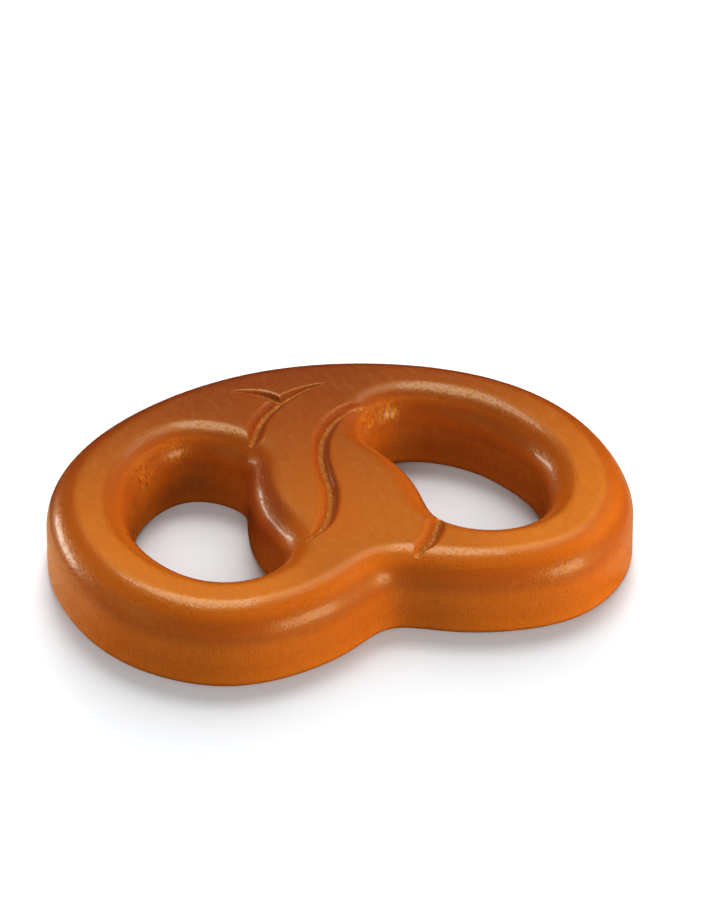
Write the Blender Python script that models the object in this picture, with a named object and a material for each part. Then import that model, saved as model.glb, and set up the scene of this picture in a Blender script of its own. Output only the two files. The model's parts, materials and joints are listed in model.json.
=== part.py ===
"""A toy pretzel of play food: one piece of stained, lacquered board with carved crossing lines.

Metres, +Z up. It lies on its flat back, and the origin is under the middle of its box.
"""

import math

import bpy
import bmesh
import numpy as np

# Driving dimensions, in metres
WIDTH = 0.100
THICKNESS = 0.014
UPPER_ROUND = 0.0060
LOWER_ROUND = 0.0014
GROOVE_WIDTH = 0.0042
GROOVE_DEPTH = 0.0011
GROOVE_FLOOR = 0.0007
GROOVE_LIP_ANGLE = math.radians(9)  # how steeply a carved line starts from the face
CUTTER_LIP = 0.0003  # how far the cutter reaches past the carved line's edge
CUTTER_ABOVE = 0.001  # how far the cutter stands above the face

# Fineness of the mesh
OUTLINE_STEPS = 132
HOLE_STEPS = 68
UPPER_STEPS = 6
LOWER_STEPS = 2
SHOULDER_STEPS = 4
GROOVE_STEPS = 6
SAMPLES_PER_STEP = 8  # points on the spline for each one that is kept
WELD = 1e-6
CREASE_ANGLE = math.radians(30)  # a sharper edge than this shows as a line

# The plan is drawn on a pretzel 100 mm wide, so its numbers are read as millimetres
PLAN_UNIT = WIDTH / 100

# Right half of the outline, from the dent between the two lobes round to the back
HALF_OUTLINE = [
    (0.0, -31.3),
    (10.6, -36.3),
    (27.0, -39.3),
    (40.0, -32.9),
    (48.4, -18.5),
    (49.1, 3.5),
    (39.7, 22.4),
    (22.0, 34.7),
    (0.0, 39.4),
]

# Right hole, from its back round the outer side; the left hole mirrors it
HOLE = [
    (19.0, 18.6),
    (28.8, 13.3),
    (33.8, 4.7),
    (35.9, -7.5),
    (30.5, -21.4),
    (20.6, -23.8),
    (14.2, -16.6),
    (14.5, -5.0),
    (12.7, 5.6),
    (12.0, 12.6),
]

# Each carved line as (x, y, size), where size 1 is the full width and depth of the cutter
GROOVES = {
    # Where the two arms cross, from the right hole down to the left one
    "twist_line": [
        (15.0, 18.9, 1.0),
        (12.0, 18.5, 1.0),
        (7.6, 16.4, 1.0),
        (3.6, 11.9, 1.0),
        (0.9, 6.2, 1.0),
        (-0.5, 0.5, 1.0),
        (-1.5, -5.0, 1.0),
        (-3.4, -10.5, 1.0),
        (-6.2, -15.5, 0.9),
        (-10.6, -19.7, 0.4),
        (-12.4, -20.9, 0.1),
    ],
    # The upper crossing, from the left hole up and away to the right
    "back_line": [
        (-12.3, 9.6, 1.0),
        (-8.7, 14.3, 1.0),
        (-5.4, 19.7, 1.0),
        (-1.9, 23.2, 0.95),
        (2.3, 25.8, 0.8),
        (6.3, 27.2, 0.45),
        (9.6, 27.5, 0.1),
    ],
    # Its short branch, away to the left
    "branch_line": [
        (0.0, 24.6, 0.85),
        (-2.0, 27.7, 0.75),
        (-4.5, 29.5, 0.45),
        (-7.3, 30.5, 0.1),
    ],
    # The end of the right arm, where it lies on the front
    "arm_line": [
        (14.6, -17.2, 1.0),
        (11.9, -21.4, 1.05),
        (9.1, -25.9, 1.0),
        (5.2, -29.7, 0.95),
        (1.9, -32.0, 0.9),
    ],
}

STAIN = (0.456, 0.098, 0.014, 1.0)
LACQUER_ROUGHNESS = 0.38


def clear_scene():
    for obj in list(bpy.data.objects):
        bpy.data.objects.remove(obj)


def new_collection(name):
    made = bpy.data.collections.new(name)
    bpy.context.scene.collection.children.link(made)
    return made


def smooth_loop(points, steps):
    """Points evenly spaced along the closed cubic spline that runs through the given ones."""
    points = np.array(points)
    count = len(points)
    corner = np.eye(count)
    weights = (4 * corner + np.roll(corner, 1, 0) + np.roll(corner, -1, 0)) / 6
    control = np.linalg.solve(weights, points)
    samples = SAMPLES_PER_STEP * steps
    along = np.arange(samples) * count / samples
    before = along.astype(int)
    t = (along - before)[:, None]
    curve = (
        (1 - t) ** 3 * control[before - 1]
        + (3 * t**3 - 6 * t**2 + 4) * control[before]
        + (3 * t + 3 * t**2 - 3 * t**3 + 1) * control[(before + 1) % count]
        + t**3 * control[(before + 2) % count]
    ) / 6
    curve = np.vstack([curve, curve[:1]])
    length = np.concatenate([[0], np.cumsum(np.linalg.norm(np.diff(curve, axis=0), axis=1))])
    even = np.linspace(0, length[-1], steps, endpoint=False)
    return np.column_stack([np.interp(even, length, curve[:, axis]) for axis in (0, 1)])


def mirrored(points):
    return [(-x, y) for x, y in points]


def curve_object(name, dimensions, collection):
    data = bpy.data.curves.new(name, "CURVE")
    data.dimensions = dimensions
    obj = bpy.data.objects.new(name, data)
    collection.objects.link(obj)
    return obj


def add_polyline(data, points, closed):
    spline = data.splines.new("POLY")
    spline.points.add(len(points) - 1)
    for point, (x, y) in zip(spline.points, points):
        point.co = (x, y, 0, 1)
    spline.use_cyclic_u = closed


def helper(name, points, closed, collection):
    """A profile to sweep along another curve, which isn't itself part of the pretzel."""
    obj = curve_object(name, "2D", collection)
    add_polyline(obj.data, points, closed)
    obj.hide_render = True
    obj.display_type = "WIRE"
    return obj


def edge_profile():
    """Half section of the board's edge, from the flat back up to the flat face; x runs inwards."""
    points = []
    for step in range(LOWER_STEPS + 1):
        turn = math.pi / 2 * step / LOWER_STEPS
        points.append((LOWER_ROUND * (1 - math.sin(turn)), LOWER_ROUND * (1 - math.cos(turn))))
    for step in range(UPPER_STEPS + 1):
        turn = math.pi / 2 * step / UPPER_STEPS
        rise = UPPER_ROUND * (math.sin(turn) - 1)
        points.append((UPPER_ROUND * (1 - math.cos(turn)), THICKNESS + rise))
    return points


def groove_profile():
    """Closed section of the carving cutter, with y = 0 on the pretzel's face.

    Each shoulder is an arc that meets the face almost flat and steepens down to a narrow floor.
    """
    run = (GROOVE_WIDTH - GROOVE_FLOOR) / 2
    radius = (run**2 + GROOVE_DEPTH**2) / (2 * GROOVE_DEPTH)
    steepest = math.asin(run / radius)
    side = []
    for step in range(SHOULDER_STEPS + 1):
        slope = steepest + (GROOVE_LIP_ANGLE - steepest) * step / SHOULDER_STEPS
        out = GROOVE_WIDTH / 2 - radius * math.sin(slope)
        side.append((out, radius * (math.cos(slope) - 1)))
    lip_x = GROOVE_WIDTH / 2 + CUTTER_LIP
    lip_y = side[-1][1] + (lip_x - side[-1][0]) * math.tan(GROOVE_LIP_ANGLE)
    side += [(lip_x, lip_y), (lip_x, lip_y + CUTTER_ABOVE)]
    return side + [(-x, y) for x, y in reversed(side)]


def made_mesh(obj):
    """The curve object as a closed mesh object of the same name, in the same place."""
    bpy.context.view_layer.update()
    graph = bpy.context.evaluated_depsgraph_get()
    mesh = bpy.data.meshes.new_from_object(obj.evaluated_get(graph))
    cleaner = bmesh.new()
    cleaner.from_mesh(mesh)
    bmesh.ops.remove_doubles(cleaner, verts=cleaner.verts, dist=WELD)
    bmesh.ops.recalc_face_normals(cleaner, faces=cleaner.faces)
    cleaner.to_mesh(mesh)
    cleaner.free()
    name = obj.name
    collection = obj.users_collection[0]
    place = obj.matrix_world.copy()
    bpy.data.objects.remove(obj)
    solid = bpy.data.objects.new(name, mesh)
    solid.matrix_world = place
    collection.objects.link(solid)
    return solid


def board(pretzel_parts, cutters):
    """The sawn board with its two holes and its rounded edges."""
    outline = HALF_OUTLINE + mirrored(HALF_OUTLINE[-2:0:-1])
    obj = curve_object("pretzel", "2D", pretzel_parts)
    loops = [(outline, OUTLINE_STEPS), (HOLE, HOLE_STEPS), (mirrored(HOLE), HOLE_STEPS)]
    for points, steps in loops:
        add_polyline(obj.data, smooth_loop(points, steps) * PLAN_UNIT, True)
    obj.data.fill_mode = "BOTH"
    obj.data.bevel_mode = "OBJECT"
    obj.data.bevel_object = helper("edge_profile", edge_profile(), False, cutters)
    return made_mesh(obj)


def groove_cutter(name, route, profile, cutters):
    """The carving cutter's path as a solid: wide above the face, as narrow as its floor below."""
    obj = curve_object(name, "3D", cutters)
    obj.data.twist_mode = "Z_UP"
    obj.data.resolution_u = GROOVE_STEPS
    obj.data.bevel_mode = "OBJECT"
    obj.data.bevel_object = profile
    obj.data.use_fill_caps = True
    spline = obj.data.splines.new("BEZIER")
    spline.bezier_points.add(len(route) - 1)
    for point, (x, y, size) in zip(spline.bezier_points, route):
        point.co = (x * PLAN_UNIT, y * PLAN_UNIT, THICKNESS)
        point.radius = size
        point.handle_left_type = "AUTO"
        point.handle_right_type = "AUTO"
    cutter = made_mesh(obj)
    cutter.hide_render = True
    cutter.display_type = "WIRE"
    return cutter


def carve(solid, cutter):
    cut = solid.modifiers.new(cutter.name, "BOOLEAN")
    cut.operation = "DIFFERENCE"
    cut.solver = "EXACT"
    cut.object = cutter


def stained_wood():
    material = bpy.data.materials.new("stained_wood")
    material.use_nodes = True
    shader = material.node_tree.nodes["Principled BSDF"]
    shader.inputs["Base Color"].default_value = STAIN
    shader.inputs["Roughness"].default_value = LACQUER_ROUGHNESS
    material.diffuse_color = STAIN
    return material


def main():
    clear_scene()
    pretzel_parts = new_collection("toy_pretzel")
    cutters = new_collection("cutters")
    pretzel = board(pretzel_parts, cutters)
    profile = helper("groove_profile", groove_profile(), True, cutters)
    for name, route in GROOVES.items():
        carve(pretzel, groove_cutter(name, route, profile, cutters))
    pretzel.data.materials.append(stained_wood())
    pretzel.data.shade_smooth()
    pretzel.data.set_sharp_from_angle(angle=CREASE_ANGLE)


main()
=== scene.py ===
"""A toy pretzel of play food, carved from one stained and lacquered board, in a small studio.

Metres, +Z up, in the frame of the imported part: the pretzel lies on its flat back at z = 0.
"""

import json
import math

import bmesh
import bpy
import numpy as np
from bpy.props import FloatProperty, FloatVectorProperty, PointerProperty
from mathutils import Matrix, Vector
from mathutils.geometry import interpolate_bezier

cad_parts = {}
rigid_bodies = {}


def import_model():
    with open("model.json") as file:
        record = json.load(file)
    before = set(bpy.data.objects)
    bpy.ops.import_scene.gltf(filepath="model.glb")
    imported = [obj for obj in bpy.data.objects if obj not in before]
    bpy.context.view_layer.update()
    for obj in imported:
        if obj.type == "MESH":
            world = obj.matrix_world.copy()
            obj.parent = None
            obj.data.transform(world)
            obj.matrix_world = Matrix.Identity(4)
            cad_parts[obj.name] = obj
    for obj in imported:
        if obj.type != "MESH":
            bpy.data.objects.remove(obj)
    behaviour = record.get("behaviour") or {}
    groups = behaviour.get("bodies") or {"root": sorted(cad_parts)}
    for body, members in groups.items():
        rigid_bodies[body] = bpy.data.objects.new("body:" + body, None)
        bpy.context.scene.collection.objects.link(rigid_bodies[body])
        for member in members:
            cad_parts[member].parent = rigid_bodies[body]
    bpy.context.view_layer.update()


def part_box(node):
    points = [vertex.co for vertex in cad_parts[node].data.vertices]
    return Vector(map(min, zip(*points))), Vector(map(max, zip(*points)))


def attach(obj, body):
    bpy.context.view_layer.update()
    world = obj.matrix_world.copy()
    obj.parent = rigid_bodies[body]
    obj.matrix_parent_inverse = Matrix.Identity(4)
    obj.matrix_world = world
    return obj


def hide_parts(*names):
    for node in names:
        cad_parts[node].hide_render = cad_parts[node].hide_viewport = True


bl_info = {
    "name": "Toy Pretzel",
    "version": (1, 0, 0),
    "blender": (4, 5, 0),
    "location": "View3D > Sidebar > Toy Pretzel",
    "description": "A wooden play-food pretzel and the small studio it stands in",
    "category": "Object",
}

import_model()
CAD_LOW, CAD_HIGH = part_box("pretzel")

# The plan is drawn on a pretzel 100 mm wide, so its numbers are read as millimetres
PLAN_WIDTH = 100
BOARD_WIDTH = 0.099975  # a hair less, so that this finer outline stays in the solid's box

# Right half of the outline, from the dent between the two lobes round to the back
HALF_OUTLINE = [
    (0.0, -31.3),
    (10.6, -36.3),
    (27.0, -39.3),
    (40.0, -32.9),
    (48.4, -18.5),
    (49.1, 3.5),
    (39.7, 22.4),
    (22.0, 34.7),
    (0.0, 39.4),
]

# Right hole, from its back round the outer side; the left hole mirrors it
HOLE = [
    (19.0, 18.6),
    (28.8, 13.3),
    (33.8, 4.7),
    (35.9, -7.5),
    (30.5, -21.4),
    (20.6, -23.8),
    (14.2, -16.6),
    (14.5, -5.0),
    (12.7, 5.6),
    (12.0, 12.6),
]

# Each carved line as (x, y, size), where size 1 is the full width and depth of the cutter
GROOVES = {
    # Where the two arms cross, from the right hole down to the left one
    "twist_line": [
        (15.0, 18.9, 1.0),
        (12.0, 18.5, 1.0),
        (7.6, 16.4, 1.0),
        (3.6, 11.9, 1.0),
        (0.9, 6.2, 1.0),
        (-0.5, 0.5, 1.0),
        (-1.5, -5.0, 1.0),
        (-3.4, -10.5, 1.0),
        (-6.2, -15.5, 0.9),
        (-10.6, -19.7, 0.4),
        (-12.4, -20.9, 0.1),
    ],
    # The upper crossing, from the left hole up and away to the right
    "back_line": [
        (-12.3, 9.6, 1.0),
        (-8.7, 14.3, 1.0),
        (-5.4, 19.7, 1.0),
        (-1.9, 23.2, 0.95),
        (2.3, 25.8, 0.8),
        (6.3, 27.2, 0.45),
        (9.6, 27.5, 0.1),
    ],
    # Its short branch, away to the left
    "branch_line": [
        (0.0, 24.6, 0.85),
        (-2.0, 27.7, 0.75),
        (-4.5, 29.5, 0.45),
        (-7.3, 30.5, 0.1),
    ],
    # The end of the right arm, where it lies on the front
    "arm_line": [
        (14.6, -17.2, 1.0),
        (11.9, -21.4, 1.05),
        (9.1, -25.9, 1.0),
        (5.2, -29.7, 0.95),
        (1.9, -32.0, 0.9),
    ],
}

# The carving cutter
GROOVE_LIP_ANGLE = math.radians(5)  # how steeply a carved line starts from the face
CUTTER_LIP = 0.0003  # how far the cutter reaches past the carved line's edge
CUTTER_ABOVE = 0.001  # how far the cutter stands above the face

# Fineness of the mesh
OUTLINE_STEPS = 480
HOLE_STEPS = 208
UPPER_STEPS = 20
WALL_STEPS = 3
LOWER_STEPS = 5
SHOULDER_STEPS = 10
GROOVE_STEPS = 14
SAMPLES_PER_STEP = 8  # points on the spline for each one that is kept
WELD = 1e-6
CREASE_ANGLE = math.radians(38)  # a sharper edge than this shows as a line
CARVED_SLOT = 1  # the material that the cutters leave on the faces they cut

# The camera and the floor
CAMERA_PLACE = Vector((-0.28655, -0.79742, 0.52855))
CAMERA_AIM = Vector((0.29477, 0.80414, -0.51622))
CAMERA_LENS = 232.82
CAMERA_CLIP = (0.05, 20)
FLOOR_REACH = 3.0

# The wood
MM = 0.001
MICROMETRE = 1e-6
GRAIN_TURN = math.radians(-9)  # brings the way that the fibres run onto y
WOOD_IOR = 1.6
LACQUER_IOR = 1.5

# The Mix node's sockets for colours, which share their names with the ones for numbers
MIX_A, MIX_B, MIX_RESULT = 6, 7, 2

# Each pattern in the wood as the length of its marks across the fibres, along them and upwards,
# in millimetres, and then its detail and its roughness
FIGURE = {
    "rays": (0.19, 1.9, 3.0, 2.0, 0.6),
    "fibres": (0.11, 4.0, 0.11, 1.0, 0.5),
    "waves": (14.0, 30.0, 6.0, 1.0, 0.5),
    "broad": (16.0, 40.0, 12.0, 2.0, 0.5),
    "specks": (0.36, 0.42, 0.42, 1.0, 0.5),
    "dots": (0.55, 0.6, 0.6, 2.0, 0.5),
    "cracks": (0.4, 0.4, 1.6, 2.0, 0.5),
    "clumps": (5.0, 8.0, 3.0, 2.0, 0.5),
    "peel": (1.1, 1.1, 1.1, 1.0, 0.5),
}

# Worn patches on the rounds of the holes as (x, y, z, reach), in millimetres
WORN = [
    (-20.7, 17.9, 12.0, 5.0),
    (-27.6, 13.4, 10.0, 6.0),
    (-33.0, 4.9, 8.0, 5.0),
    (13.5, 16.1, 11.0, 4.5),
    (18.0, 19.1, 11.0, 4.0),
]

# Painted shade beside the middle strand, as where it lies and how far along x, y and z
SHADED_SPOT = (-10.5, -2.0, 9.5)
SHADED_SPOT_REACH = (7.0, 15.0, 6.5)

# Directions in the studio are azimuths from straight behind the pretzel, as the camera sees it,
# round by its right, and elevations above the floor
BEHIND = Vector((0.344, 0.939, 0))
RIGHT = Vector((0.939, -0.344, 0))
LIGHT_AIM = Vector((0, 0, 0.007))

# Each softbox as (what it lights, azimuth, elevation, distance, width, height, brightness).
# Light for the wood's colour, for its gloss and for the paper comes from boxes of their own.
SOFTBOXES = {
    "window_fill": ("wood", 118, 20, 0.60, 0.40, 0.20, 8.5),
    "strip_fill": ("wood", -48, 10, 0.60, 0.34, 0.18, 9.2),
    "back_fill": ("wood", 30, 35, 0.90, 0.40, 0.40, 6.7),
    "right_fill": ("wood", 60, 35, 0.90, 0.40, 0.40, 5.7),
    "low_right": ("wood", 110, 10, 0.25, 0.15, 0.10, 6.0),
    "low_left": ("wood", 250, 20, 0.25, 0.15, 0.10, 3.5),
    "top_fill": ("wood", 0, 88, 0.90, 0.60, 0.60, 1.0),
    "overhead": ("gloss", -15, 63, 1.00, 0.44, 0.61, 2.5),
    "overhead_right": ("gloss", 22, 55, 1.00, 0.34, 0.46, 0.8),
    "window": ("gloss", 120, 13, 1.00, 0.56, 0.42, 1.75),
    "strip": ("gloss", -54, 5, 1.00, 0.42, 0.20, 4.4),
    "paper": ("paper", 10, 42, 0.90, 0.84, 0.84, 5.3),
    "paper_top": ("paper", 0, 66, 0.90, 0.32, 0.32, 10.8),
    "paper_back": ("paper", 0, 15, 0.90, 0.48, 0.30, 27.0),
    "paper_front": ("paper", 180, 20, 0.90, 0.38, 0.38, 21.0),
}

# The bright paper beside the pretzel, which the lacquer shows at its rims, as lights just under
# the floor: (x from, x to, y from, y to, brightness). Each is a stack of GLOW_STEPS lights, and
# each of those starts further back, so that the glow fades towards the front over GLOW_FADE.
GLOWS = {
    "glow_left": (-0.085, -0.044, -0.020, 0.038, 0.75),
    "glow_right": (0.046, 0.090, -0.050, 0.034, 0.54),
}
GLOW_FADE = 0.040
GLOW_STEPS = 7
GLOW_COLOUR = (1.0, 0.60, 0.30)
GLOW_BELOW = 0.0005


class ToySizes(bpy.types.PropertyGroup):
    """Sizes of the board and of the lines carved into it."""

    width: FloatProperty(
        name="Width",
        description="Across both lobes",
        default=BOARD_WIDTH,
        min=0.05,
        unit="LENGTH",
    )
    thickness: FloatProperty(
        name="Thickness",
        description="Of the board, from its flat back to its face",
        default=CAD_HIGH.z - CAD_LOW.z,
        min=0.008,
        unit="LENGTH",
    )
    upper_round: FloatProperty(
        name="Upper round",
        description="Radius worn over every edge of the face",
        default=0.0060,
        min=0.001,
        unit="LENGTH",
    )
    lower_round: FloatProperty(
        name="Lower round",
        description="Radius of the edges that it lies on",
        default=0.0014,
        min=0.0003,
        unit="LENGTH",
    )
    groove_width: FloatProperty(
        name="Carved line width",
        description="From lip to lip",
        default=0.0044,
        min=0.002,
        unit="LENGTH",
    )
    groove_depth: FloatProperty(
        name="Carved line depth",
        description="Below the face",
        default=0.0011,
        min=0.0003,
        unit="LENGTH",
    )
    groove_floor: FloatProperty(
        name="Carved line floor",
        description="Width of the flat strip at the bottom of a carved line",
        default=0.0007,
        min=0.0001,
        unit="LENGTH",
    )


def colour_property(name, description, default):
    return FloatVectorProperty(
        name=name, description=description, default=default, min=0, max=1, size=3, subtype="COLOR"
    )


def share_property(name, description, default):
    return FloatProperty(
        name=name, description=description, default=default, min=0, max=1, subtype="FACTOR"
    )


class WoodFinish(bpy.types.PropertyGroup):
    """Colours of the stained wood, and its lacquer."""

    stain: colour_property("Stain", "Rounds and sides of the board", (0.52, 0.100, 0.003))
    face: colour_property("Face", "Flat face, where sanding left it duller", (0.61, 0.148, 0.006))
    fibre: colour_property("Fibre", "Pale fibres and rays in the flat face", (0.78, 0.28, 0.06))
    # This tone darkens the wood towards the back, along the middle, in the dark rays and in broad
    # patches. It is also laid on as painted shade on the shoulders, on the flanks of the carved
    # lines and beside the middle strand.
    dark_tone_and_shade: colour_property("Toast", "Darker stain towards the back", (0.18, 0.018, 0.006))
    # The edge colour is partly painted light: the lower edge is made lighter for bounce light from
    # the paper, with a speckled, rubbed look.
    edge: colour_property(
        "Edge", "Lower edge, where the stain has rubbed thin", (0.62, 0.135, 0.006)
    )
    carving: colour_property("Carving", "Floor of the carved lines", (0.85, 0.38, 0.09))
    fleck: colour_property("Fleck", "Bare flecks in the worn patches", (0.80, 0.24, 0.010))
    pore: colour_property("Pore", "Pits, pores and fine cracks", (0.11, 0.018, 0.003))
    gloss_tint: colour_property(
        "Gloss tint", "Of the light that the stain mirrors", (0.88, 0.74, 0.18)
    )
    roughness: share_property("Roughness", "Of the stained wood", 0.29)
    lacquer: share_property("Lacquer", "How much clear lacquer lies on the stain", 0.7)
    lacquer_roughness: share_property("Lacquer roughness", "Of the clear lacquer", 0.09)


class StudioSetup(bpy.types.PropertyGroup):
    """The floor and the strength of the light."""

    paper: colour_property("Paper", "The floor that the pretzel lies on", (0.59, 0.60, 0.61))
    light: FloatProperty(
        name="Light", description="Strength of every light", default=1.0, min=0.0, max=10.0
    )
    ambient: share_property("Ambient", "Soft light from all round", 0.30)


def smooth_loop(points, steps):
    """Points evenly spaced along the closed cubic spline that runs through the given ones."""
    points = np.array(points)
    count = len(points)
    corner = np.eye(count)
    weights = (4 * corner + np.roll(corner, 1, 0) + np.roll(corner, -1, 0)) / 6
    control = np.linalg.solve(weights, points)
    samples = SAMPLES_PER_STEP * steps
    along = np.arange(samples) * count / samples
    before = along.astype(int)
    t = (along - before)[:, None]
    curve = (
        (1 - t) ** 3 * control[before - 1]
        + (3 * t**3 - 6 * t**2 + 4) * control[before]
        + (3 * t + 3 * t**2 - 3 * t**3 + 1) * control[(before + 1) % count]
        + t**3 * control[(before + 2) % count]
    ) / 6
    curve = np.vstack([curve, curve[:1]])
    length = np.concatenate([[0], np.cumsum(np.linalg.norm(np.diff(curve, axis=0), axis=1))])
    even = np.linspace(0, length[-1], steps, endpoint=False)
    return np.column_stack([np.interp(even, length, curve[:, axis]) for axis in (0, 1)])


def mirrored(points):
    return [(-x, y) for x, y in points]


def edge_rings(sizes):
    """(way inwards, height) of each ring up the board's edge, from its back to its face."""
    lower, upper = sizes.lower_round, sizes.upper_round
    wall_top = sizes.thickness - upper
    rings = []
    for step in range(LOWER_STEPS + 1):
        turn = math.pi / 2 * step / LOWER_STEPS
        rings.append((lower * (1 - math.sin(turn)), lower * (1 - math.cos(turn))))
    for step in range(1, WALL_STEPS):
        share = step / WALL_STEPS
        rings.append((0.0, lower + share * (wall_top - lower)))
    for step in range(UPPER_STEPS + 1):
        turn = math.pi / 2 * step / UPPER_STEPS
        rings.append((upper * (1 - math.cos(turn)), wall_top + upper * math.sin(turn)))
    return rings


def sawn_loop(bm, points, inward_sign, inwards):
    """A loop of edges along a sawn line, each vertex knowing which way the wood is."""
    ahead = np.roll(points, -1, 0) - np.roll(points, 1, 0)
    ahead /= np.linalg.norm(ahead, axis=1)[:, None]
    verts = []
    for (x, y), (dx, dy) in zip(points, ahead):
        vert = bm.verts.new((x, y, 0))
        vert[inwards] = (-dy * inward_sign, dx * inward_sign, 0)
        verts.append(vert)
    return [bm.edges.new(pair) for pair in zip(verts, verts[1:] + verts[:1])]


def ring_up(bm, edges, rings, inwards):
    """Extrudes a loop up the board's side and over its rounds; gives its first and last ring."""
    for vert in {v for edge in edges for v in edge.verts}:
        vert.co += vert[inwards] * rings[0][0]
    bottom = edges
    last_inset, last_height = rings[0]
    for inset, height in rings[1:]:
        made = bmesh.ops.extrude_edge_only(bm, edges=edges)["geom"]
        edges = [part for part in made if isinstance(part, bmesh.types.BMEdge)]
        for vert in (part for part in made if isinstance(part, bmesh.types.BMVert)):
            vert.co += vert[inwards] * (inset - last_inset)
            vert.co.z += height - last_height
        last_inset, last_height = inset, height
    return bottom, edges


def winding(points):
    """1 for a loop that runs anticlockwise seen from above, and -1 for the other way."""
    x, y = points[:, 0], points[:, 1]
    return 1 if np.sum(x * np.roll(y, -1) - np.roll(x, -1) * y) > 0 else -1


def board_mesh(sizes):
    """The sawn board with its two holes and its rounded edges."""
    bm = bmesh.new()
    inwards = bm.verts.layers.float_vector.new("inwards")
    unit = sizes.width / PLAN_WIDTH
    outline = HALF_OUTLINE + mirrored(HALF_OUTLINE[-2:0:-1])
    bottoms, tops = [], []
    for points, steps, side in (
        (outline, OUTLINE_STEPS, 1),
        (HOLE, HOLE_STEPS, -1),
        (mirrored(HOLE), HOLE_STEPS, -1),
    ):
        loop = smooth_loop(points, steps) * unit
        edges = sawn_loop(bm, loop, side * winding(loop), inwards)
        bottom, top = ring_up(bm, edges, edge_rings(sizes), inwards)
        bottoms += bottom
        tops += top
    bmesh.ops.triangle_fill(bm, edges=bottoms, use_beauty=True, normal=(0, 0, -1))
    bmesh.ops.triangle_fill(bm, edges=tops, use_beauty=True, normal=(0, 0, 1))
    bm.verts.layers.float_vector.remove(inwards)
    bmesh.ops.remove_doubles(bm, verts=bm.verts, dist=WELD)
    bmesh.ops.recalc_face_normals(bm, faces=bm.faces)
    mesh = bpy.data.meshes.new("pretzel_wood")
    bm.to_mesh(mesh)
    bm.free()
    return mesh


def groove_section(sizes):
    """Closed section of the carving cutter, with y = 0 on the pretzel's face.

    Each shoulder is an arc that meets the face almost flat and steepens down to a narrow floor.
    """
    run = (sizes.groove_width - sizes.groove_floor) / 2
    radius = (run**2 + sizes.groove_depth**2) / (2 * sizes.groove_depth)
    steepest = math.asin(run / radius)
    side = []
    for step in range(SHOULDER_STEPS + 1):
        slope = steepest + (GROOVE_LIP_ANGLE - steepest) * step / SHOULDER_STEPS
        out = sizes.groove_width / 2 - radius * math.sin(slope)
        side.append((out, radius * (math.cos(slope) - 1)))
    lip_x = sizes.groove_width / 2 + CUTTER_LIP
    lip_y = side[-1][1] + (lip_x - side[-1][0]) * math.tan(GROOVE_LIP_ANGLE)
    side += [(lip_x, lip_y), (lip_x, lip_y + CUTTER_ABOVE)]
    return side + [(-x, y) for x, y in reversed(side)]


def linked(name, data):
    obj = bpy.data.objects.new(name, data)
    bpy.context.scene.collection.objects.link(obj)
    return obj


def section_object(points):
    """A closed profile to sweep along the carved lines."""
    data = bpy.data.curves.new("groove_section", "CURVE")
    data.dimensions = "2D"
    spline = data.splines.new("POLY")
    spline.points.add(len(points) - 1)
    for point, (x, y) in zip(spline.points, points):
        point.co = (x, y, 0, 1)
    spline.use_cyclic_u = True
    return linked("groove_section", data)


def finished_mesh(obj):
    """The object's mesh with its curve or its modifiers made real."""
    bpy.context.view_layer.update()
    graph = bpy.context.evaluated_depsgraph_get()
    return bpy.data.meshes.new_from_object(obj.evaluated_get(graph))


def welded(mesh):
    """Merges what lies on the same spot, and takes away the faces that this leaves without area."""
    bm = bmesh.new()
    bm.from_mesh(mesh)
    bmesh.ops.remove_doubles(bm, verts=bm.verts, dist=WELD)
    bmesh.ops.dissolve_degenerate(bm, dist=WELD, edges=bm.edges)
    bm.to_mesh(mesh)
    bm.free()
    return mesh


def middle_line(points):
    """(x, y, size) at even steps along a smooth path."""
    middle = []
    for a, b in zip(points, points[1:]):
        run = interpolate_bezier(a.co, a.handle_right, b.handle_left, b.co, GROOVE_STEPS + 1)
        for step, place in enumerate(run):
            size = a.radius + (b.radius - a.radius) * step / GROOVE_STEPS
            middle.append((place.x, place.y, size))
    return middle


def groove_cutter(name, route, section, sizes, material):
    """The carving cutter's path as a solid, and the line that its middle follows."""
    unit = sizes.width / PLAN_WIDTH
    data = bpy.data.curves.new(name, "CURVE")
    data.dimensions = "3D"
    data.twist_mode = "Z_UP"
    data.resolution_u = GROOVE_STEPS
    data.bevel_mode = "OBJECT"
    data.bevel_object = section
    data.use_fill_caps = True
    spline = data.splines.new("BEZIER")
    spline.bezier_points.add(len(route) - 1)
    for point, (x, y, size) in zip(spline.bezier_points, route):
        point.co = (x * unit, y * unit, sizes.thickness)
        point.radius = size
        point.handle_left_type = "AUTO"
        point.handle_right_type = "AUTO"
    path = linked(name, data)
    mesh = finished_mesh(path)
    middle = middle_line(spline.bezier_points)
    bpy.data.objects.remove(path)
    bm = bmesh.new()
    bm.from_mesh(mesh)
    bmesh.ops.remove_doubles(bm, verts=bm.verts, dist=WELD)
    bmesh.ops.recalc_face_normals(bm, faces=bm.faces)
    bm.to_mesh(mesh)
    bm.free()
    mesh.materials.clear()
    mesh.materials.append(material)
    return linked(name, mesh), middle


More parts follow.
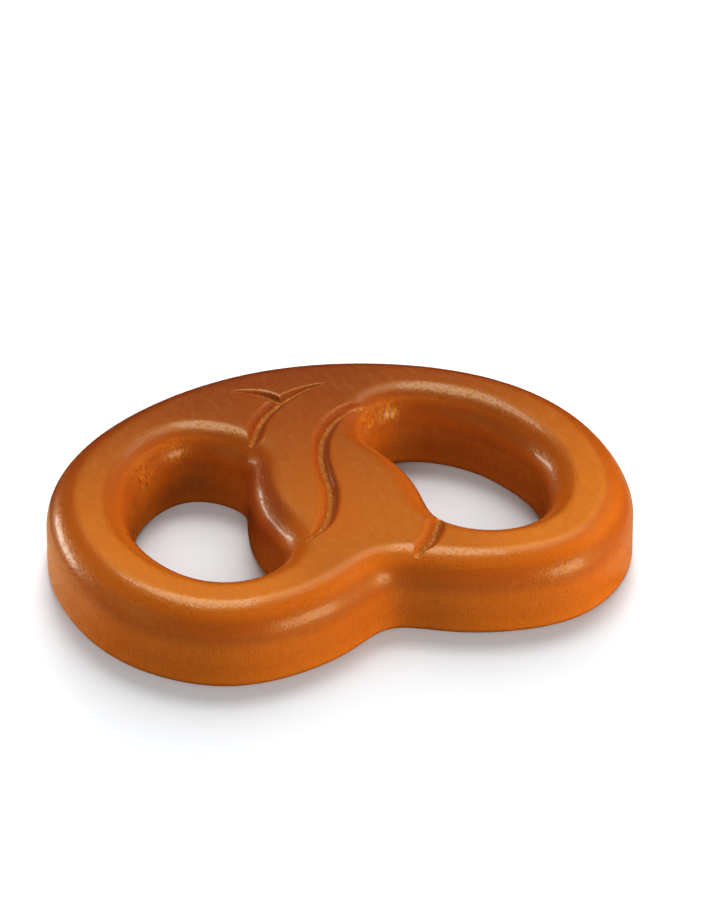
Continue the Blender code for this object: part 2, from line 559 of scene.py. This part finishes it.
def mark_carving(mesh, middles, sizes):
    """Stores where each vertex lies in a carved line.

    "carved" is 0 at the line's lips and 1 along its middle. "carved_right" is how far it lies to
    the right of the middle, as a share of the line's half width, and below 0 to the left.
    """
    carved_verts = set()
    for face in mesh.polygons:
        if face.material_index == CARVED_SLOT:
            carved_verts.update(face.vertices)
        face.material_index = 0
    carved = np.zeros(len(mesh.vertices), np.float32)
    carved_right = np.zeros(len(mesh.vertices), np.float32)
    lines = np.array([point for middle in middles for point in middle])
    for index in carved_verts:
        place = mesh.vertices[index].co
        off_x, off_y = place.x - lines[:, 0], place.y - lines[:, 1]
        half = lines[:, 2] * sizes.groove_width / 2
        share = np.clip(1 - np.hypot(off_x, off_y) / half, 0, 1)
        near = share.argmax()
        carved[index] = share[near]
        carved_right[index] = (off_x[near] * RIGHT.x + off_y[near] * RIGHT.y) / half[near]
    for name, values in (("carved", carved), ("carved_right", carved_right)):
        mesh.attributes.new(name, "FLOAT", "POINT").data.foreach_set("value", values)


class Socket:
    """An output in a node tree, so that shader maths reads as plain sums."""

    def __init__(self, bench, output):
        self.bench = bench
        self.output = output

    def __add__(self, other):
        return self.bench.math("ADD", self, other)

    def __sub__(self, other):
        return self.bench.math("SUBTRACT", self, other)

    def __rsub__(self, other):
        return self.bench.math("SUBTRACT", other, self)

    def __mul__(self, other):
        return self.bench.math("MULTIPLY", self, other)

    __radd__ = __add__
    __rmul__ = __mul__


class Bench:
    """One node tree, and the ways to lay nodes out on it."""

    def __init__(self, owner):
        owner.use_nodes = True
        self.tree = owner.node_tree
        self.tree.nodes.clear()

    def add(self, kind, settings=None, inputs=None, output=0):
        """Makes a node: its settings first, then the values and links of its sockets."""
        node = self.tree.nodes.new(kind)
        for name, value in (settings or {}).items():
            setattr(node, name, value)
        for name, value in (inputs or {}).items():
            socket = node.inputs[name]
            if isinstance(value, Socket):
                self.tree.links.new(value.output, socket)
            elif socket.type == "RGBA":
                socket.default_value = (*value, 1)
            else:
                socket.default_value = value
        return Socket(self, node.outputs[output]) if node.outputs else node

    def math(self, operation, a, b):
        return self.add("ShaderNodeMath", {"operation": operation}, {0: a, 1: b})

    def coordinate(self, place, axis):
        return self.add("ShaderNodeSeparateXYZ", inputs={"Vector": place}, output=axis)

    def stored(self, name):
        """A value that the mesh carries at each of its vertices."""
        return self.add("ShaderNodeAttribute", {"attribute_name": name}, output="Fac")

    def fade(self, value, low, high):
        """0 up to low, 1 from high on and a smooth step between; low may be the higher one."""
        return self.add(
            "ShaderNodeMapRange",
            {"interpolation_type": "SMOOTHSTEP"},
            {"Value": value, "From Min": low, "From Max": high},
        )

    def blend(self, share, a, b):
        """Colour a with that share of colour b laid over it."""
        return self.add(
            "ShaderNodeMix",
            {"data_type": "RGBA"},
            {"Factor": share, MIX_A: a, MIX_B: b},
            output=MIX_RESULT,
        )

    def stretch(self, place, *lengths):
        """The place in units of the three lengths, for a pattern whose marks are that long."""
        units = tuple(1 / length for length in lengths)
        return self.add("ShaderNodeVectorMath", {"operation": "MULTIPLY"}, {0: place, 1: units})

    def near(self, place, middle, reach, full=0.0, none=1.0):
        """1 at a spot and 0 past its reach along x, y and z, with a smooth step between.

        It is whole up to the share "full" of the reach, and nothing from the share "none" on.
        """
        spot = tuple(way / length for way, length in zip(middle, reach))
        distance = self.add(
            "ShaderNodeVectorMath",
            {"operation": "DISTANCE"},
            {0: self.stretch(place, *reach), 1: spot},
            output="Value",
        )
        return self.fade(distance, none, full)

    def noise(self, place, detail, roughness):
        return self.add(
            "ShaderNodeTexNoise",
            inputs={"Vector": place, "Scale": 1.0, "Detail": detail, "Roughness": roughness},
        )


def stained_wood(finish, sizes):
    """Orange-brown stain on a fine, even wood, under a clear lacquer.

    The board is cut so that its fibres run front to back and its rays stand upright: on the
    face the rays are short pale strokes, and on the front they are upright ticks.
    """
    material = bpy.data.materials.new("stained_wood")
    bench = Bench(material)
    fade, blend, stretch, noise = bench.fade, bench.blend, bench.stretch, bench.noise
    where = bench.add("ShaderNodeTexCoord", output="Object")
    place = bench.add(
        "ShaderNodeMapping",
        inputs={"Vector": where, "Rotation": (0, 0, GRAIN_TURN), "Scale": (1 / MM,) * 3},
    )
    straight = stretch(where, MM, MM, MM)
    across, height = bench.coordinate(place, "X"), bench.coordinate(place, "Z")
    right, back = bench.coordinate(straight, "X"), bench.coordinate(straight, "Y")
    carved, carved_right = bench.stored("carved"), bench.stored("carved_right")

    # Where things are: heights in millimetres, and places in a carved line as shares of it
    top = sizes.thickness / MM
    in_line = fade(carved, 0.0, 0.1)
    on_face = fade(height, top - 0.25, top - 0.02) * (1 - in_line)
    near_face = fade(height, top - 1.6, top - 1.0)
    line_floor = fade(carved, 0.74, 0.87)
    # Painted shade on both flanks of the carved lines, strongest on the right-hand flank, which
    # faces left
    shaded_right_flank = fade(carved_right, 0.08, 0.3) * fade(carved, 0.2, 0.5) * (1 - line_floor)
    shaded_left_flank = fade(carved_right, -0.08, -0.3) * fade(carved, 0.2, 0.6) * (1 - line_floor)
    # Painted bounce light from the paper along the lower edge
    lit_low_edge = fade(height, 4.0, 0.6)
    # Painted shade: a band partway up the side, where the upper round begins
    shoulder = fade(height, 7.0, 9.5) * fade(height, 12.9, 11.4)
    on_side = fade(height, top - 1.5, top - 4.5)
    worn = sum(bench.near(straight, spot, (reach,) * 3) for *spot, reach in WORN)
    # Painted shade beside the middle strand, on its side below the face
    shaded_spot = bench.near(straight, SHADED_SPOT, SHADED_SPOT_REACH, full=0.6, none=1.1)
    shaded_spot = shaded_spot * fade(height, top - 0.1, top - 0.5)

    # The wood's own figure
    marks = {
        name: noise(stretch(place, *lengths), detail, roughness)
        for name, (*lengths, detail, roughness) in FIGURE.items()
    }
    rays, fibres, specks, cracks = (marks[name] for name in ("rays", "fibres", "specks", "cracks"))
    pale_rays = fade(rays, 0.52, 0.68)
    dark_rays = fade(rays, 0.42, 0.3)
    pale_fibres = fade(fibres, 0.5, 0.75)
    depth = height * 3.5 + across * 0.28 + marks["waves"] * 9.0
    layers = bench.add("ShaderNodeMath", {"operation": "SINE"}, {0: depth})
    pits = fade(specks, 0.27, 0.2) * fade(marks["clumps"], 0.5, 0.65)
    pits = pits + worn * fade(cracks, 0.4, 0.35)

    # Colour: the stain, the flat face, and what lies over both
    # Darker towards the back
    darker_back = fade(back + right * 0.12, -22.0, 42.0)
    middle = fade(bench.add("ShaderNodeMath", {"operation": "ABSOLUTE"}, {0: right}), 25.0, 9.0)
    stain = blend(darker_back * (near_face * 0.5 + 0.25), finish.stain, finish.dark_tone_and_shade)
    face = blend(pale_rays * 0.3, finish.face, finish.fibre)
    face = blend(pale_fibres * 0.2, face, finish.fibre)
    face = blend(darker_back * 0.82, face, finish.dark_tone_and_shade)
    face = blend(middle * 0.3, face, finish.dark_tone_and_shade)
    face = blend(pale_rays * darker_back * 0.16, face, finish.fibre)
    face = blend(dark_rays * 0.2, face, finish.dark_tone_and_shade)
    colour = blend(on_face, stain, face)
    colour = blend(marks["broad"] * 0.12, colour, finish.dark_tone_and_shade)
    colour = blend(fade(layers, 0.2, 1.0) * on_side * 0.04, colour, finish.pore)
    colour = blend(pale_rays * on_side * 0.1, colour, finish.fibre)
    colour = blend(dark_rays * on_side * 0.15, colour, finish.pore)
    # Painted shade in the band on the shoulders
    colour = blend(shoulder * 0.38, colour, finish.dark_tone_and_shade)
    # The lower edge lighter: painted bounce light from the paper, mottled with specks
    colour = blend(lit_low_edge * (fade(specks, 0.35, 0.6) * 0.5 + 0.35), colour, finish.edge)
    dotted = fade(specks, 0.4, 0.3) * (1 - on_face) * (1 - lit_low_edge)
    colour = blend(dotted * 0.3, colour, finish.pore)
    colour = blend(worn * fade(cracks, 0.45, 0.65) * 0.45, colour, finish.fleck)
    # Painted shade beside the middle strand
    colour = blend(shaded_spot * 0.5, colour, finish.dark_tone_and_shade)
    # Painted shade on the flanks of the carved lines, speckled on the left flank
    colour = blend(shaded_right_flank * 0.6, colour, finish.dark_tone_and_shade)
    colour = blend(shaded_left_flank * (fade(specks, 0.5, 0.4) * 0.25 + 0.25), colour, finish.dark_tone_and_shade)
    colour = blend(line_floor, colour, blend(pale_rays, finish.stain, finish.carving))
    colour = blend(line_floor * fade(specks, 0.44, 0.38) * 0.6, colour, finish.pore)
    colour = blend(pits * 0.8, colour, finish.pore)

    # Relief, in micrometres
    relief = marks["peel"] * 14.0 + specks * (1 - on_face) * 60.0 + rays * on_face * 7.0
    relief = relief + fibres * 2.0 - pits * 20.0 - dark_rays * 6.0
    normal = bench.add("ShaderNodeBump", inputs={"Distance": MICROMETRE, "Height": relief})

    # Gloss: the lacquer has small gaps, and is thinner on the face, the line floors and the pits
    roughness = finish.roughness + line_floor * 0.3 + pits * 0.2 + pale_rays * 0.05
    broken = fade(marks["dots"], 0.4, 0.48)
    flat = fade(height, top - 0.08, top - 0.01)
    lacquer = broken * (1 - line_floor * 0.9) * (1 - pits) * (1 - flat * 0.6) * finish.lacquer
    shader = bench.add(
        "ShaderNodeBsdfPrincipled",
        inputs={
            "Base Color": colour,
            "Roughness": roughness,
            "IOR": WOOD_IOR,
            "Specular IOR Level": 1.0,
            "Specular Tint": finish.gloss_tint,
            "Coat Weight": lacquer,
            "Coat Roughness": finish.lacquer_roughness,
            "Coat IOR": LACQUER_IOR,
            "Normal": normal,
        },
    )
    bench.add("ShaderNodeOutputMaterial", inputs={"Surface": shader})
    material.diffuse_color = (*finish.stain, 1)
    return material


class TOY_OT_pretzel(bpy.types.Operator):
    """Saw, round, carve and stain the wooden pretzel."""

    bl_idname = "toy.pretzel"
    bl_label = "Pretzel"

    def execute(self, context):
        sizes = context.scene.toy_sizes
        pretzel = linked("wooden_pretzel", board_mesh(sizes))
        wood = stained_wood(context.scene.toy_finish, sizes)
        pretzel.data.materials.append(wood)
        carved_wood = wood.copy()
        section = section_object(groove_section(sizes))
        cutters, middles = [], []
        for name, route in GROOVES.items():
            cutter, middle = groove_cutter(name, route, section, sizes, carved_wood)
            cutters.append(cutter)
            middles.append(middle)
            cut = pretzel.modifiers.new(name, "BOOLEAN")
            cut.operation = "DIFFERENCE"
            cut.solver = "EXACT"
            cut.material_mode = "TRANSFER"
            cut.object = cutter
        pretzel.data = welded(finished_mesh(pretzel))
        pretzel.modifiers.clear()
        for helper in cutters + [section]:
            bpy.data.objects.remove(helper)
        mark_carving(pretzel.data, middles, sizes)
        pretzel.data.materials.clear()
        pretzel.data.materials.append(wood)
        bpy.data.materials.remove(carved_wood)
        pretzel.data.shade_smooth()
        pretzel.data.set_sharp_from_angle(angle=CREASE_ANGLE)
        flat_face = pretzel.modifiers.new("flat_face", "WEIGHTED_NORMAL")
        flat_face.keep_sharp = True
        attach(pretzel, "root")
        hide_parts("pretzel")
        return {"FINISHED"}


def paper_material(paper):
    """Matt white paper."""
    material = bpy.data.materials.new("paper")
    bench = Bench(material)
    shader = bench.add(
        "ShaderNodeBsdfPrincipled",
        inputs={"Base Color": paper, "Roughness": 1.0, "Specular IOR Level": 0.0},
    )
    bench.add("ShaderNodeOutputMaterial", inputs={"Surface": shader})
    return material


def area_light(name, lights, width, height, brightness):
    """A rectangular light for the pretzel's colour, for its gloss or for the paper alone."""
    data = bpy.data.lights.new(name, "AREA")
    data.shape = "RECTANGLE"
    data.size = width
    data.size_y = height
    data.energy = brightness * math.pi * width * height  # as bright to look at in any size
    light = linked(name, data)
    light.visible_camera = False
    light.visible_glossy = lights == "gloss"
    light.visible_diffuse = lights != "gloss"
    lit = bpy.data.collections.new(name)
    lit.objects.link(bpy.data.objects["floor" if lights == "paper" else "wooden_pretzel"])
    light.light_linking.receiver_collection = lit
    return light


def softbox(name, lights, azimuth, elevation, distance, width, height, brightness):
    """An area light that faces the pretzel."""
    turn, rise = math.radians(azimuth), math.radians(elevation)
    flat = BEHIND * math.cos(turn) + RIGHT * math.sin(turn)
    way = flat * math.cos(rise) + Vector((0, 0, math.sin(rise)))
    light = area_light(name, lights, width, height, brightness)
    light.location = LIGHT_AIM + way * distance
    light.rotation_euler = (-way).to_track_quat("-Z", "Y").to_euler()
    return light


def paper_glow(name, left, right, front, back, brightness):
    """Lights under the floor that face up, and shine through it on the pretzel's gloss alone."""
    stack = []
    for step in range(GLOW_STEPS):
        start = front + GLOW_FADE * step / GLOW_STEPS
        share = brightness / GLOW_STEPS
        light = area_light(f"{name}_{step}", "gloss", right - left, back - start, share)
        light.data.color = GLOW_COLOUR
        light.location = ((left + right) / 2, (start + back) / 2, -GLOW_BELOW)
        light.rotation_euler = (math.pi, 0, 0)
        # Only the pretzel stops this light, so the floor lets it through
        light.light_linking.blocker_collection = light.light_linking.receiver_collection
        stack.append(light)
    return stack


class TOY_OT_studio(bpy.types.Operator):
    """Set the pale floor, the soft lights and the camera."""

    bl_idname = "toy.studio"
    bl_label = "Studio"

    def execute(self, context):
        scene = context.scene
        setup = scene.toy_studio
        bm = bmesh.new()
        bmesh.ops.create_grid(bm, x_segments=1, y_segments=1, size=FLOOR_REACH)
        mesh = bpy.data.meshes.new("floor")
        bm.to_mesh(mesh)
        bm.free()
        mesh.materials.append(paper_material(setup.paper))
        floor = linked("floor", mesh)
        floor.visible_glossy = False  # the lacquer shows only the lights
        lights = [softbox(name, *row) for name, row in SOFTBOXES.items()]
        for name, row in GLOWS.items():
            lights += paper_glow(name, *row)
        for light in lights:
            light.data.energy *= setup.light
        scene.world = bpy.data.worlds.new("studio")
        bench = Bench(scene.world)
        in_view = bench.add("ShaderNodeLightPath", output="Is Camera Ray")
        in_gloss = bench.add("ShaderNodeLightPath", output="Is Glossy Ray")
        strength = in_view + (1 - in_view) * (1 - in_gloss) * setup.ambient
        air = bench.add("ShaderNodeBackground", inputs={"Color": (1, 1, 1), "Strength": strength})
        bench.add("ShaderNodeOutputWorld", inputs={"Surface": air})
        data = bpy.data.cameras.new("camera")
        data.lens = CAMERA_LENS
        data.clip_start, data.clip_end = CAMERA_CLIP
        camera = linked("camera", data)
        camera.location = CAMERA_PLACE
        camera.rotation_euler = CAMERA_AIM.to_track_quat("-Z", "Y").to_euler()
        scene.camera = camera
        scene.view_settings.view_transform = "Standard"
        return {"FINISHED"}


class TOY_PT_panel(bpy.types.Panel):
    """The toy's pieces, sizes and finish."""

    bl_idname = "TOY_PT_panel"
    bl_label = "Toy Pretzel"
    bl_space_type = "VIEW_3D"
    bl_region_type = "UI"
    bl_category = "Toy Pretzel"

    def draw(self, context):
        layout = self.layout
        for group in SETTINGS:
            settings = getattr(context.scene, group)
            box = layout.box()
            for name in settings.bl_rna.properties.keys():
                if name not in {"rna_type", "name"}:
                    box.prop(settings, name)
        for operator in (TOY_OT_pretzel, TOY_OT_studio):
            layout.operator(operator.bl_idname)


SETTINGS = {"toy_sizes": ToySizes, "toy_finish": WoodFinish, "toy_studio": StudioSetup}
CLASSES = (*SETTINGS.values(), TOY_OT_pretzel, TOY_OT_studio, TOY_PT_panel)


def register():
    for cls in CLASSES:
        bpy.utils.register_class(cls)
    for name, group in SETTINGS.items():
        setattr(bpy.types.Scene, name, PointerProperty(type=group))


def unregister():
    for name in SETTINGS:
        delattr(bpy.types.Scene, name)
    for cls in reversed(CLASSES):
        bpy.utils.unregister_class(cls)


def main():
    register()
    bpy.ops.toy.pretzel()
    bpy.ops.toy.studio()


if __name__ == "__main__":
    main()
